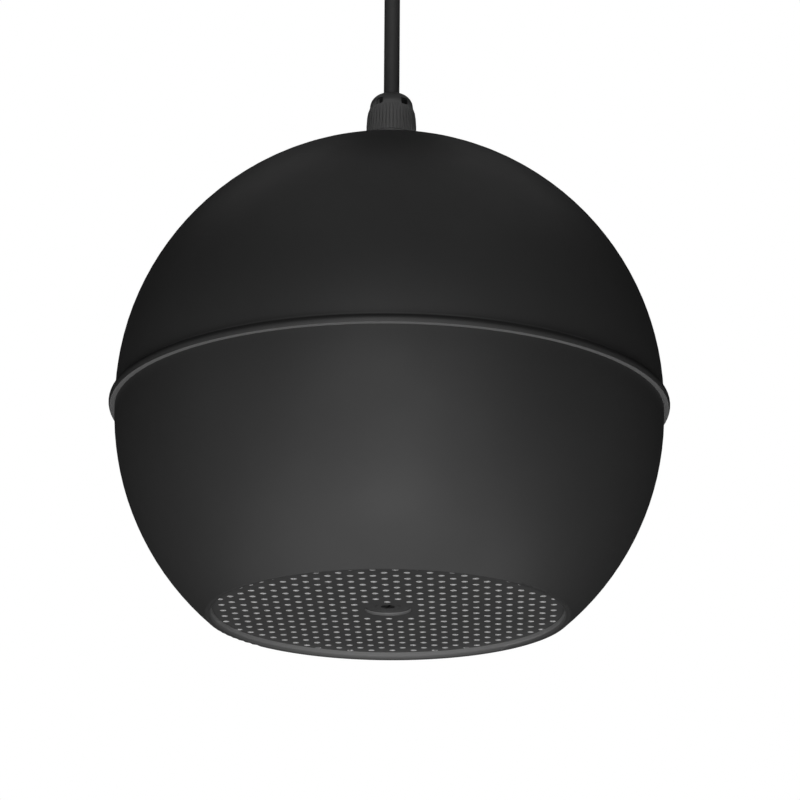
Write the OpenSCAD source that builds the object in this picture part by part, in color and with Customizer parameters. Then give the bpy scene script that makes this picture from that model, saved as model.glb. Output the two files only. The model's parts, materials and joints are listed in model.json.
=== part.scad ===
// Round pendant loudspeaker: a two-part ball hung on its own cord, firing
// down through a perforated grille, with a line transformer in its dome.
// Sizes are millimetres and Z is up. The origin is the centre of the ceiling
// plate's top face. Heights inside the ball are taken from the lower edge of
// the rim, and at_rim() brings them to the origin.

/* [Ball] */
// Diameter of both half shells
ball_d = 180; // [180:1:190]
// Wall thickness of the shells
wall_t = 2.5; // [2.3:0.1:2.8]
// Height of the upper half's centre above the rim's lower edge
upper_rise = 3.2; // [2.8:0.1:4]
// Depth of the lower half's centre below the rim's lower edge
lower_drop = 0.65; // [0.4:0.05:0.8]
// How far the rim stands out from the shells
rim_out = 2; // [1.8:0.1:2.6]
// Height of the rim
rim_h = 2.65; // [2.5:0.05:3.2]

/* [Grille] */
// Diameter of the grille plate
grille_d = 113.4; // [112:0.2:116]
// Thickness of the grille sheet
grille_t = 1; // [0.8:0.1:1.2]
// Depth of the grille's face inside the lip
grille_recess = 2.33; // [2.2:0.01:3.2]
// Diameter of one hole
hole_d = 2.1; // [1.8:0.1:2.4]
// Distance between neighbouring holes
hole_pitch = 5.03; // [5:0.01:6]
// Turn of the hole pattern about the axis
hole_turn = -1.66; // [-4:0.01:4]
// Diameter of the dish around the grille's screw
dish_d = 15.5; // [15:0.1:16]
// Depth of that dish
dish_depth = 1.1; // [0.8:0.05:1.2]

/* [Driver] */
// Outer diameter of the cone
cone_d = 86; // [84:1:87]
// Diameter of the voice coil's former, outside
coil_d = 25.9; // [25.4:0.1:26.4]
// Diameter of the ring magnet
magnet_d = 72; // [66:1:78]
// Thickness of the ring magnet
magnet_t = 13; // [11:1:14]
// Travel of the cone each way
cone_travel = 2.5; // [2:0.1:2.5]

/* [Transformer] */
// Width of the transformer's core
core_w = 42; // [40:1:44]
// Height of the core
core_h = 35; // [33:1:36]
// Stack thickness of the core
core_t = 15; // [13:1:17]

/* [Cord and gland] */
// Diameter of the cord
cord_d = 5.3; // [4.8:0.1:5.6]
// Length of cord between the gland and the ceiling grip
cord_drop = 44.3; // [40:0.1:600]
// Diameter of the gland at its foot
gland_d = 16.8; // [16.4:0.1:18]
// Height of the gland above the shell
gland_h = 19.5; // [19:0.1:24]

/* [Ceiling fitting] */
// Diameter of the ceiling cup
cup_d = 72; // [70:1:84]
// Height of the ceiling cup
cup_h = 28; // [28:1:34]
// Distance between the two ceiling screws
screw_span = 48; // [44:1:50]

/* [Hidden] */
$fn = 96;

shell_black = [0.13, 0.13, 0.13];
paint_black = [0.2, 0.2, 0.2];
plastic_black = [0.17, 0.17, 0.17];
rubber_black = [0.08, 0.08, 0.08];
steel = [0.72, 0.72, 0.74];
copper = [0.75, 0.42, 0.24];
white_part = [0.92, 0.91, 0.88];

// Shells
ball_r = ball_d / 2;
inner_r = ball_r - wall_t;
pole_z = upper_rise + ball_r;
mouth_r = grille_d / 2 + 0.2;
lip_tube_r = 1.35;
lip_proud = 0.02;
lip_tube_x = mouth_r + lip_tube_r;
lip_tube_z = -lower_drop - sqrt(pow(ball_r - lip_tube_r + lip_proud, 2) - pow(lip_tube_x, 2));
lip_z = lip_tube_z - lip_tube_r;
rim_r = ball_r + rim_out;
seal_seat_z = 0.6;
seal_t = 0.6;
upper_edge_z = seal_seat_z + seal_t;
spigot_r = inner_r - 1.2;
spigot_t = 1.5;
catch_r = spigot_r + 0.3;
catch_z = -3.2;
hook_angle = 14;

// Grille and what holds it
grille_r = grille_d / 2;
grille_face_z = lip_z + grille_recess;
ledge_z = grille_face_z + grille_t;
hole_field_r = grille_r - 0.4;
ledge_r = grille_r - 1.5;
hole_free_r = dish_d / 2 + 1.4;
screw_head_r = 3.9;
screw_shank_r = 2;
countersink_h = 1.9;
bridge_z = ledge_z + 2.2;
bridge_t = 1.2;
bridge_w = 12;
bridge_half = ledge_r + 6;
bridge_screw_x = ledge_r + 3.8;
cloth_t = 0.4;

// Driver, from its flange upward: the surround's roll hangs clear of the bridge
gasket_t = 1;
surround_seat_r = ledge_r - 3.3;
surround_t = 0.8;
cone_r = cone_d / 2;
cone_lip_r = cone_r + 2.4;
roll_in = cone_lip_r + 0.2;
roll_out = surround_seat_r - 0.2;
roll_r = (roll_out - roll_in) / 2;
roll_depth = roll_r + 0.8;
roll_gap = cone_travel / 2 + 0.85;
baffle_top_z = bridge_z + bridge_t + roll_gap + roll_depth - gasket_t;
baffle_r = ledge_r + 3.5;
flange_z = baffle_top_z + gasket_t;
flange_t = 1.2;
flange_r = ledge_r + 6.5;
driver_screw_pitch_r = ledge_r + 3.5;
cone_front_z = flange_z;
cap_r = 15.5;
cap_bulge = 5;
former_r = coil_d / 2;
former_t = 0.4;
coil_t = 0.55;
ledge_ring_z = flange_z + 19.1;
cone_neck_z = ledge_ring_z - 3.5;
plate_seat_z = ledge_ring_z + 10;
front_plate_t = 5;
winding_l = front_plate_t + 2 * cone_travel - 1;
coil_z = plate_seat_z + (front_plate_t - winding_l) / 2;
magnet_z = plate_seat_z + front_plate_t;
back_z = magnet_z + magnet_t;
back_t = 5;
pole_r = former_r - former_t - 0.45;
gap_r = former_r + coil_t + 0.45;
magnet_r = magnet_d / 2;
board_x = magnet_r + 2;
lug_x = -board_x - 6;

// Carrier and transformer in the dome
carrier_z = 46.5;
carrier_t = 1.5;
carrier_x = 42;
carrier_y = 26;
post_x = 36;
post_y = 20;
core_bottom = carrier_z - core_h;
leg_w = core_w / 6;
strap_t = 1.2;
strap_w = core_t - 1;
foot_x = core_w / 2 + strap_t + 5;

// Terminal block on the carrier
block_x = 21;
block_l = 22;
block_w = 18;
block_h = 13;
block_z = carrier_z + carrier_t;
wire_y = 4.5;
wire_z = block_z + 6;

// Gland and cord
cord_r = cord_d / 2;
gland_r = gland_d / 2;
gland_foot_z = upper_rise + sqrt(pow(ball_r, 2) - pow(gland_r + 0.3, 2));
gland_top_z = pole_z + gland_h;
nut_z = gland_foot_z + 5;
stem_r = 6;
seal_r = 4.6;
boss_z = upper_rise + inner_r - 2.6;
locknut_h = 5;
jacket_end_z = boss_z - 18;
grip_h = 10;
cup_bottom_z = gland_top_z + cord_drop + grip_h;
ceiling_z = cup_bottom_z + cup_h;
rim_z = -ceiling_z;
cup_r = cup_d / 2;
cup_wall = 2;
plate_t = 1.6;
grip_r = 7;
grip_bore_r = cord_r + 0.1;
tab_y = cup_r - cup_wall - 1.6;
ceiling_block_y = 17;
ceiling_block_h = 12;
ceiling_wire_z = ceiling_z - plate_t - 6;
upper_jacket_end_z = cup_bottom_z + 11;
core_wire_r = 1;

// Route of the free cord, from the gland to the grip
cord_route = [
    [0, 0, gland_top_z],
    [0, 0, gland_top_z + cord_drop / 2],
    [0, 0, gland_top_z + cord_drop]
];

// Routes of the wires inside, chosen by hand
cord_core_route = [
    [0, 1.2, jacket_end_z - 0.1], [0, 1.2, jacket_end_z - 2.5], [1, 2.4, jacket_end_z - 5.5],
    [3, 3.8, jacket_end_z - 8], [6, wire_y, wire_z + 1], [8, wire_y, wire_z], [12, wire_y, wire_z]
];
ceiling_core_route = [
    [1.2, 0, upper_jacket_end_z + 0.1], [1.2, 0, upper_jacket_end_z + 1.5], [2.5, 2, upper_jacket_end_z + 3.5],
    [wire_y, 5, ceiling_wire_z - 1], [wire_y, 7, ceiling_wire_z], [wire_y, 11, ceiling_wire_z]
];
transformer_lead_route = [
    [30, wire_y, wire_z], [34, wire_y, wire_z], [36.5, 6, wire_z - 3], [37, 7, block_z],
    [37, 7, carrier_z - 6], [34, 7, carrier_z - 14], [28, 7, core_bottom + 11],
    [24, 7, core_bottom + 12], [20, 9.5, core_bottom + 13], [14.5, 9.8, core_bottom + 14]
];
driver_lead_route = [
    [-14.5, 9.8, core_bottom + 14], [-20, 9.5, core_bottom + 12], [-26, 8, core_bottom + 6],
    [-36, 6, core_bottom - 4], [lug_x + 1, 5, magnet_z + 12], [lug_x, wire_y, magnet_z + 2],
    [lug_x, wire_y, plate_seat_z + 5.1]
];

// Helper shapes

module at_rim() {
    translate([0, 0, rim_z]) children();
}

module ring(r_out, r_in, h) {
    difference() {
        cylinder(r = r_out, h = h);
        translate([0, 0, -1]) cylinder(r = r_in, h = h + 2);
    }
}

module pan_screw(r, len, head_r, head_h) {
    difference() {
        union() {
            cylinder(r = head_r, h = head_h);
            translate([0, 0, -len]) cylinder(r = r, h = len + head_h / 2);
        }
        cross_recess(head_r * 1.05, head_h);
    }
}

// Cross recess cut in a head whose top is at height top
module cross_recess(width, top) {
    for (turn = [0, 90]) {
        rotate(turn) translate([-width / 2, -0.35, top - 0.8]) cube([width, 0.7, 2]);
    }
}

// Round tube through the points of a route, each ring square to the route
function unit(v) = v / norm(v);
function step_at(p, i) = unit(p[min(i + 1, len(p) - 1)] - p[max(i - 1, 0)]);
function side_of(t) = unit(cross(abs(t[0]) < 0.9 ? [1, 0, 0] : [0, 1, 0], t));
function ring_at(p, i, r, sides) = [
    for (k = [0 : sides - 1])
        let (t = step_at(p, i), u = side_of(t), v = cross(t, u), a = 360 * k / sides)
        p[i] + r * cos(a) * u + r * sin(a) * v
];
// Points added along a route so that its bends are smooth
function curve_point(a, b, c, d, s) = 0.5 * (
    2 * b + (c - a) * s + (2 * a - 5 * b + 4 * c - d) * s * s + (3 * b - 3 * c + d - a) * s * s * s
);
function smooth_route(p, steps) = concat(
    [for (i = [0 : len(p) - 2], s = [0 : steps - 1])
        curve_point(p[max(i - 1, 0)], p[i], p[i + 1], p[min(i + 2, len(p) - 1)], s / steps)],
    [p[len(p) - 1]]
);

module tube_along(p, r, sides = 8) {
    n = len(p);
    points = [for (i = [0 : n - 1]) each ring_at(p, i, r, sides)];
    walls = [
        for (i = [0 : n - 2], k = [0 : sides - 1])
            let (a = i * sides, b = a + sides, next = (k + 1) % sides)
            [b + k, b + next, a + next, a + k]
    ];
    first = [for (k = [0 : sides - 1]) k];
    last = [for (k = [0 : sides - 1]) n * sides - 1 - k];
    polyhedron(points = points, faces = concat([first, last], walls));
}

module wire_pair(route, r) {
    tube_along(smooth_route(route, 3), r);
    mirror([0, 1, 0]) tube_along(smooth_route(route, 3), r);
}

// Ceiling fitting

module ceiling_plate() {
    color(steel) at_rim() difference() {
        union() {
            translate([0, 0, ceiling_z - plate_t]) cylinder(r = tab_y + 0.5, h = plate_t);
            for (side = [0, 180]) rotate(side) {
                translate([-5, tab_y - plate_t, ceiling_z - 14]) cube([10, plate_t, 13]);
            }
        }
        for (side = [-1, 1]) {
            translate([side * screw_span / 2, 0, ceiling_z - plate_t - 1]) cylinder(r = 2.4, h = plate_t + 2);
        }
        translate([0, 0, ceiling_z - 9]) rotate([90, 0, 0]) cylinder(r = 1.5, h = cup_d, center = true);
    }
}

module ceiling_cup() {
    color(shell_black) at_rim() difference() {
        translate([0, 0, cup_bottom_z]) rotate_extrude() difference() {
            cup_outline(0);
            cup_outline(cup_wall);
        }
        translate([0, 0, cup_bottom_z - 1]) cylinder(r = 5.1, h = cup_wall + 2);
        translate([0, 0, ceiling_z - 9]) rotate([90, 0, 0]) cylinder(r = 1.7, h = cup_d + 2, center = true);
    }
}

// Half section of the cup, shrunk by inset: a straight side with a round lower edge
module cup_outline(inset) {
    corner = 9;
    translate([0, corner]) square([cup_r - inset, cup_h - corner + (inset > 0 ? 1 : 0)]);
    translate([0, inset]) square([cup_r - corner, corner]);
    intersection() {
        translate([cup_r - corner, corner]) circle(r = corner - inset);
        translate([cup_r - corner, 0]) square([corner, corner]);
    }
}

module cup_screws() {
    color(steel) at_rim() for (side = [0, 180]) {
        rotate(side) translate([0, cup_r, ceiling_z - 9]) rotate([-90, 0, 0]) pan_screw(1.5, 7, 2.8, 1.6);
    }
}

module cord_grip() {
    color(plastic_black) at_rim() difference() {
        union() {
            translate([0, 0, cup_bottom_z - grip_h]) cylinder(r1 = grip_r - 1, r2 = grip_r, h = 1);
            translate([0, 0, cup_bottom_z - grip_h + 1]) cylinder(r = grip_r, h = grip_h - 1);
            translate([0, 0, cup_bottom_z - 1]) cylinder(r = 5, h = 9.5);
        }
        translate([0, 0, cup_bottom_z - grip_h - 1]) cylinder(r = grip_bore_r, h = 30);
        translate([0, 0, cup_bottom_z - grip_h / 2]) rotate([0, 90, 0]) cylinder(r = 2, h = 20);
    }
}

module cord_grip_nut() {
    color(steel) at_rim() translate([0, 0, cup_bottom_z + cup_wall]) difference() {
        cylinder(r = 7.5, h = 4, $fn = 6);
        translate([0, 0, -1]) cylinder(r = 5.05, h = 6);
    }
}

module cord_grip_screw() {
    screw_l = grip_r - cord_r + 0.6;
    color(white_part) at_rim() translate([cord_r, 0, cup_bottom_z - grip_h / 2]) rotate([0, 90, 0]) {
        difference() {
            cylinder(r = 1.95, h = screw_l);
            translate([-2, -0.35, screw_l - 0.8]) cube([4, 0.7, 2]);
        }
    }
}

module ceiling_block() {
    color(white_part) at_rim() difference() {
        translate([-10, ceiling_block_y - 8, ceiling_z - plate_t - ceiling_block_h]) {
            cube([20, 16, ceiling_block_h]);
        }
        for (side = [-1, 1]) {
            translate([side * wire_y, ceiling_block_y, ceiling_wire_z]) rotate([90, 0, 0]) {
                cylinder(r = 1.6, h = 20, center = true);
            }
            translate([side * wire_y, ceiling_block_y + 3, ceiling_wire_z - 10]) cylinder(r = 1.8, h = 10);
        }
    }
}

module ceiling_block_screws() {
    color(steel) at_rim() for (side = [-1, 1]) {
        translate([side * wire_y, ceiling_block_y + 3, ceiling_wire_z - 5.4]) difference() {
            cylinder(r = 1.7, h = 5.25);
            translate([-2, -0.3, -1]) cube([4, 0.6, 1.6]);
        }
    }
}

module cord_upper_end() {
    color(rubber_black) at_rim() translate([0, 0, gland_top_z + cord_drop]) {
        cylinder(r = cord_r, h = upper_jacket_end_z - gland_top_z - cord_drop);
    }
}

module ceiling_cores() {
    color(copper) at_rim() {
        tube_along(smooth_route(ceiling_core_route, 3), core_wire_r);
        mirror([1, 0, 0]) tube_along(smooth_route(ceiling_core_route, 3), core_wire_r);
    }
}

module cord() {
    color(rubber_black) at_rim() tube_along(smooth_route(cord_route, 3), cord_r, 12);
}

// Gland on the dome

module gland_nut() {
    crown_r = 4.5;
    shoulder_z = gland_top_z - crown_r;
    shoulder_r = gland_r - 1.15;
    skirt_h = shoulder_z - nut_z;
    groove_count = 44;
    notch_count = 5;
    color(plastic_black) at_rim() difference() {
        rotate_extrude() difference() {
            union() {
                polygon([
                    [0, nut_z], [gland_r, nut_z], [gland_r, nut_z + 0.35 * skirt_h],
                    [gland_r - 0.2, nut_z + 0.63 * skirt_h], [gland_r - 0.45, nut_z + 0.79 * skirt_h],
                    [gland_r - 1, nut_z + 0.94 * skirt_h], [shoulder_r, shoulder_z], [0, shoulder_z]
                ]);
                translate([0, shoulder_z - 0.01]) square([shoulder_r - crown_r, crown_r + 0.01]);
                intersection() {
                    translate([shoulder_r - crown_r, shoulder_z]) circle(r = crown_r);
                    translate([0, shoulder_z - 0.01]) square([shoulder_r, crown_r + 0.02]);
                }
            }
            nut_hollow();
        }
        for (k = [0 : groove_count - 1]) rotate((k + 0.5) * 360 / groove_count) {
            translate([gland_r + 0.14, 0, nut_z - 1]) rotate([0, -4.4, 0]) {
                cylinder(r = 0.28, h = skirt_h + 0.4, $fn = 24);
            }
        }
        for (k = [0 : notch_count - 1]) rotate(90 + k * 360 / notch_count) {
            translate([shoulder_r - 1.1, -1.1, shoulder_z - 0.8]) cube([4, 2.2, 2.4]);
        }
    }
}

// Hollow of the nut: thread, taper for the fingers and the cord's way out
module nut_hollow() {
    polygon([
        [0, nut_z - 1], [stem_r + 0.35, nut_z - 1], [stem_r + 0.35, nut_z + 6.5], [5.6, nut_z + 9.5],
        [5.4, gland_top_z - 2], [cord_r + 0.35, gland_top_z - 1.2],
        [cord_r + 0.35, gland_top_z + 1], [0, gland_top_z + 1]
    ]);
}

module gland_body() {
    color(plastic_black) at_rim() difference() {
        union() {
            translate([0, 0, boss_z - locknut_h - 2]) {
                cylinder(r = stem_r, h = nut_z - boss_z + locknut_h + 8);
            }
            translate([0, 0, gland_foot_z]) cylinder(r = gland_r, h = nut_z - gland_foot_z - 0.2);
        }
        translate([0, 0, boss_z - locknut_h - 3]) cylinder(r = cord_r + 0.1, h = 40);
        translate([0, 0, nut_z + 2.5]) cylinder(r = seal_r, h = 10);
    }
}

module gland_seal() {
    color(rubber_black) at_rim() translate([0, 0, nut_z + 2.5]) ring(seal_r, cord_r, 7);
}

module gland_locknut() {
    color(steel) at_rim() translate([0, 0, boss_z - locknut_h]) difference() {
        cylinder(r = 9.2, h = locknut_h, $fn = 6);
        translate([0, 0, -1]) cylinder(r = stem_r + 0.05, h = locknut_h + 2);
    }
}

module cord_lower_end() {
    color(rubber_black) at_rim() translate([0, 0, jacket_end_z]) {
        cylinder(r = cord_r, h = gland_top_z - jacket_end_z);
    }
}

module cord_collar() {
    color(white_part) at_rim() translate([0, 0, boss_z - locknut_h - 8]) difference() {
        ring(6.5, cord_r + 0.03, 5.5);
        translate([cord_r - 0.5, -0.6, -1]) cube([6, 1.2, 8]);
    }
}

// Shells

module upper_shell() {
    color(shell_black) at_rim() difference() {
        union() {
            rotate_extrude() intersection() {
                difference() {
                    translate([0, upper_rise]) circle(r = ball_r);
                    translate([0, upper_rise]) circle(r = inner_r);
                }
                translate([0, upper_edge_z]) square([ball_r + 5, ball_d]);
            }
            spigot();
            intersection() {
                dome_space();
                union() {
                    translate([0, 0, boss_z]) cylinder(r = 12, h = 10);
                    carrier_posts();
                }
            }
        }
        translate([0, 0, boss_z - 1]) cylinder(r = stem_r + 0.15, h = 20);
        translate([0, 0, gland_foot_z]) cylinder(r = gland_r + 0.3, h = 20);
        post_places() translate([0, 0, carrier_z]) cylinder(r = 1.4, h = 14);
    }
}

module dome_space() {
    translate([0, 0, upper_rise]) sphere(r = ball_r - wall_t / 2);
}

module post_places() {
    for (sx = [-1, 1], sy = [-1, 1]) translate([sx * post_x, sy * post_y, 0]) children();
}

module carrier_posts() {
    post_places() translate([0, 0, carrier_z + carrier_t]) {
        cylinder(r = 4, h = ball_r);
        for (turn = [0, 90]) rotate(turn) translate([-6, -0.9, 6]) cube([12, 1.8, ball_r]);
    }
}

// Spigot inside the rim, with hooks that snap below the lower shell's catch
module spigot() {
    rotate_extrude() {
        translate([spigot_r - spigot_t, -7]) square([spigot_t, upper_edge_z + 10.5]);
        translate([spigot_r - spigot_t, upper_edge_z]) square([inner_r - spigot_r + spigot_t + 0.6, 2.3]);
    }
    for (k = [0 : 5]) rotate(k * 60 - hook_angle / 2) rotate_extrude(angle = hook_angle) {
        polygon([
            [spigot_r - 0.2, catch_z - 0.2], [spigot_r + 0.7, catch_z - 0.2], [spigot_r + 0.7, catch_z - 1],
            [spigot_r, catch_z - 3], [spigot_r - 0.2, catch_z - 3]
        ]);
    }
}

module rim_seal() {
    color(rubber_black) at_rim() translate([0, 0, seal_seat_z]) ring(ball_r - 0.1, inner_r + 0.3, seal_t);
}

module lower_shell() {
    color(shell_black) at_rim() difference() {
        union() {
            rotate_extrude() lower_outline();
            driver_bosses();
            bridge_pads();
        }
        driver_boss_places() translate([0, 0, baffle_top_z - 8]) cylinder(r = 1.4, h = 10);
        for (side = [-1, 1]) {
            translate([side * (ledge_r + 3) - 4, -bridge_w / 2 - 0.2, bridge_z]) {
                cube([8, bridge_w + 0.4, 20]);
            }
            translate([side * bridge_screw_x, 0, bridge_z - 2.6]) cylinder(r = 1.15, h = 5);
        }
    }
}

// Half section of the lower shell: wall, lip, rim and the baffle ring
module lower_outline() {
    difference() {
        union() {
            intersection() {
                difference() {
                    translate([0, -lower_drop]) circle(r = ball_r);
                    translate([0, -lower_drop]) circle(r = inner_r);
                }
                translate([mouth_r, lip_tube_z]) square([ball_r, -lip_tube_z + seal_seat_z]);
            }
            intersection() {
                translate([0, -lower_drop]) circle(r = ball_r);
                translate([mouth_r, lip_tube_z]) square([6, ledge_z - lip_tube_z + 1]);
            }
            translate([lip_tube_x, lip_tube_z]) circle(r = lip_tube_r);
            translate([0, -lower_drop]) intersection() {
                circle(r = ball_r);
                polygon([
                    [lip_tube_x, lip_tube_z + lower_drop], 1.1 * [lip_tube_x, lip_tube_z + lower_drop],
                    [1.1 * ball_r, lip_tube_z + lower_drop]
                ]);
            }
            rim_outline();
            translate([ledge_r, ledge_z]) square([baffle_r - ledge_r, baffle_top_z - ledge_z]);
            intersection() {
                translate([0, -lower_drop]) circle(r = ball_r);
                translate([baffle_r - 0.5, ledge_z]) square([8, 2.2]);
            }
            translate([catch_r, catch_z]) square([inner_r - catch_r + 0.6, 1.4]);
        }
        translate([ball_r + 0.2, upper_edge_z]) mirror([1, 0]) square([20, 20]);
        translate([ball_r + 0.2, seal_seat_z]) mirror([1, 0]) square([20, 20]);
    }
}

// Section of the rim: a round outside, a flat foot and a lip that hides the joint
module rim_outline() {
    intersection() {
        translate([rim_r - 2.3, rim_h / 2]) circle(r = 2.3);
        translate([inner_r + 0.2, 0]) square([wall_t + rim_out + 1, rim_h]);
    }
    translate([inner_r + 0.2, 0]) square([wall_t, seal_seat_z]);
}

module driver_boss_places() {
    for (k = [0 : 3]) rotate(45 + 90 * k) translate([driver_screw_pitch_r, 0, 0]) children();
}

// Space that the lower shell's inner bosses and pads may fill
module lower_space() {
    difference() {
        translate([0, 0, -lower_drop]) sphere(r = ball_r - wall_t / 2);
        cylinder(r = ledge_r, h = ball_d, center = true);
    }
}

module driver_bosses() {
    boss_foot_z = ledge_z + 0.5;
    intersection() {
        driver_boss_places() translate([0, 0, boss_foot_z]) cylinder(r = 4, h = baffle_top_z - boss_foot_z);
        lower_space();
    }
}

module bridge_pads() {
    pad_foot_z = ledge_z + 0.5;
    intersection() {
        translate([-ball_r, -bridge_w / 2 - 1.7, pad_foot_z]) {
            cube([ball_d, bridge_w + 3.4, baffle_top_z - pad_foot_z]);
        }
        lower_space();
    }
}

// Line transformer and its carrier in the dome

module carrier_plate() {
    color(steel) at_rim() difference() {
        translate([-carrier_x, -carrier_y, carrier_z]) cube([2 * carrier_x, 2 * carrier_y, carrier_t]);
        post_places() translate([0, 0, carrier_z - 1]) cylinder(r = 1.8, h = carrier_t + 2);
        for (side = [-1, 1]) {
            translate([side * foot_x, 0, carrier_z - 1]) cylinder(r = 1.5, h = carrier_t + 2);
            translate([37, side * 7, carrier_z - 1]) cylinder(r = 2, h = carrier_t + 2);
        }
    }
}

module carrier_screws() {
    color(steel) at_rim() post_places() translate([0, 0, carrier_z]) mirror([0, 0, 1]) {
        pan_screw(1.4, 12, 3.2, 2.2);
    }
}

module transformer_core() {
    color(steel) at_rim() difference() {
        translate([-core_w / 2, -core_t / 2, core_bottom]) cube([core_w, core_t, core_h]);
        for (side = [-1, 1]) {
            translate([side * core_w / 4 - leg_w / 2, -core_t, core_bottom + leg_w]) {
                cube([leg_w, 2 * core_t, core_h - 2 * leg_w]);
            }
        }
    }
}

module transformer_bobbin() {
    bobbin_h = core_h - 2 * leg_w;
    color(white_part) at_rim() difference() {
        union() {
            translate([-leg_w - 1, -core_t / 2 - 1, core_bottom + leg_w]) {
                cube([2 * leg_w + 2, core_t + 2, bobbin_h]);
            }
            for (z = [core_bottom + leg_w, core_bottom + leg_w + bobbin_h - 1]) {
                translate([-2 * leg_w + 0.3, -core_t / 2 - 6, z]) cube([4 * leg_w - 0.6, core_t + 12, 1]);
            }
        }
        translate([-leg_w, -core_t / 2, core_bottom]) cube([2 * leg_w, core_t, core_h]);
    }
}

module transformer_winding() {
    winding_z = core_bottom + leg_w + 1;
    winding_h = core_h - 2 * leg_w - 2;
    color([0.85, 0.7, 0.2]) at_rim() difference() {
        translate([-2 * leg_w + 0.8, -core_t / 2 - 5.4, winding_z]) {
            cube([4 * leg_w - 1.6, core_t + 10.8, winding_h]);
        }
        translate([-leg_w - 1, -core_t / 2 - 1, core_bottom]) cube([2 * leg_w + 2, core_t + 2, core_h]);
        for (sx = [-1, 1], sy = [-1, 1]) {
            translate([sx * 13.2, sy * 10.4, core_bottom + 14]) rotate([0, 90, 0]) {
                cylinder(r = 1.2, h = 4, center = true);
            }
        }
    }
}

module transformer_bracket() {
    half = core_w / 2;
    color(steel) at_rim() difference() {
        translate([0, strap_w / 2, 0]) rotate([90, 0, 0]) linear_extrude(strap_w) union() {
            translate([-half - strap_t, core_bottom - strap_t]) square([core_w + 2 * strap_t, strap_t]);
            for (side = [0, 1]) mirror([side, 0]) {
                translate([half, core_bottom - strap_t]) square([strap_t, core_h + strap_t]);
                translate([half, carrier_z - strap_t]) square([10, strap_t]);
            }
        }
        for (side = [-1, 1]) translate([side * foot_x, 0, carrier_z - 3]) cylinder(r = 1.7, h = 6);
    }
}

module bracket_screws() {
    color(steel) at_rim() for (side = [-1, 1]) {
        translate([side * foot_x, 0, carrier_z - strap_t]) mirror([0, 0, 1]) {
            pan_screw(1.5, strap_t + carrier_t, 2.8, 1.8);
        }
    }
}

module terminal_block() {
    color(white_part) at_rim() difference() {
        translate([block_x - block_l / 2, -block_w / 2, block_z]) cube([block_l, block_w, block_h]);
        for (side = [-1, 1]) {
            translate([block_x, side * wire_y, wire_z]) rotate([0, 90, 0]) {
                cylinder(r = 1.6, h = block_l + 2, center = true);
            }
            for (end = [-1, 1]) {
                translate([block_x + end * 6, side * wire_y, wire_z]) cylinder(r = 1.8, h = 10);
            }
        }
        translate([block_x, 0, block_z - 1]) cylinder(r = 1.6, h = block_h + 2);
    }
}

module terminal_screws() {
    color(steel) at_rim() for (end = [-1, 1], side = [-1, 1]) {
        translate([block_x + end * 6, side * wire_y, wire_z + 1.05]) difference() {
            cylinder(r = 1.75, h = 5);
            translate([-2, -0.3, 4.2]) cube([4, 0.6, 2]);
        }
    }
}

module cord_cores() {
    color(copper) at_rim() wire_pair(cord_core_route, core_wire_r);
}

module transformer_leads() {
    color([0.7, 0.1, 0.1]) at_rim() wire_pair(transformer_lead_route, 0.8);
}

module driver_leads() {
    color([0.1, 0.1, 0.1]) at_rim() wire_pair(driver_lead_route, 0.8);
}

// Damping ring that lies against the inside of the lower shell
module wadding() {
    color(white_part) at_rim() rotate_extrude() intersection() {
        translate([0, -lower_drop]) circle(r = inner_r);
        translate([inner_r - 25.5, ledge_ring_z]) square([26, back_z - 4 - ledge_ring_z]);
    }
}

// Driver

module back_plate() {
    color(steel) at_rim() difference() {
        union() {
            translate([0, 0, back_z]) cylinder(r = magnet_r - 2, h = back_t);
            translate([0, 0, plate_seat_z - 0.5]) cylinder(r = pole_r, h = back_z - plate_seat_z + 1);
        }
        translate([0, 0, plate_seat_z - 1]) cylinder(r = 4, h = 60);
    }
}

module magnet() {
    color([0.25, 0.25, 0.27]) at_rim() translate([0, 0, magnet_z]) ring(magnet_r, 20, magnet_t);
}

module front_plate() {
    color(steel) at_rim() translate([0, 0, plate_seat_z]) ring(magnet_r - 4, gap_r, front_plate_t);
}

module driver_frame() {
    color(paint_black) at_rim() difference() {
        union() {
            rotate_extrude() frame_outline();
            translate([-board_x - 10, -9, plate_seat_z - 1.2]) cube([16, 18, 1.2]);
        }
        for (k = [0 : 5]) rotate(60 * k + 30) translate([22, -11, flange_z + 4]) cube([40, 22, 12]);
        driver_boss_places() translate([0, 0, flange_z - 1]) cylinder(r = 1.8, h = 4);
    }
}

// Half section of the pressed frame: flange, sloping basket, spider ledge and plate seat
module frame_outline() {
    sheet = 1.2;
    slope_top_r = 37;
    translate([surround_seat_r, flange_z]) square([flange_r - surround_seat_r, flange_t]);
    polygon([
        [surround_seat_r, flange_z], [surround_seat_r + sheet + 0.3, flange_z],
        [slope_top_r + sheet + 0.3, ledge_ring_z], [slope_top_r + sheet + 0.3, ledge_ring_z + sheet],
        [slope_top_r, ledge_ring_z + sheet], [slope_top_r, ledge_ring_z]
    ]);
    translate([31, ledge_ring_z]) square([slope_top_r - 30.8, sheet]);
    translate([31, ledge_ring_z]) square([sheet, plate_seat_z - ledge_ring_z]);
    translate([gap_r + 4, plate_seat_z - sheet]) square([31 + sheet - gap_r - 4, sheet]);
}

module driver_gasket() {
    color(rubber_black) at_rim() difference() {
        translate([0, 0, baffle_top_z]) ring(ledge_r + 6, ledge_r, gasket_t);
        driver_boss_places() translate([0, 0, baffle_top_z - 1]) cylinder(r = 1.8, h = gasket_t + 2);
    }
}

module driver_screws() {
    color(steel) at_rim() driver_boss_places() translate([0, 0, flange_z + flange_t]) {
        pan_screw(1.37, 9, 3, 2);
    }
}

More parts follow.
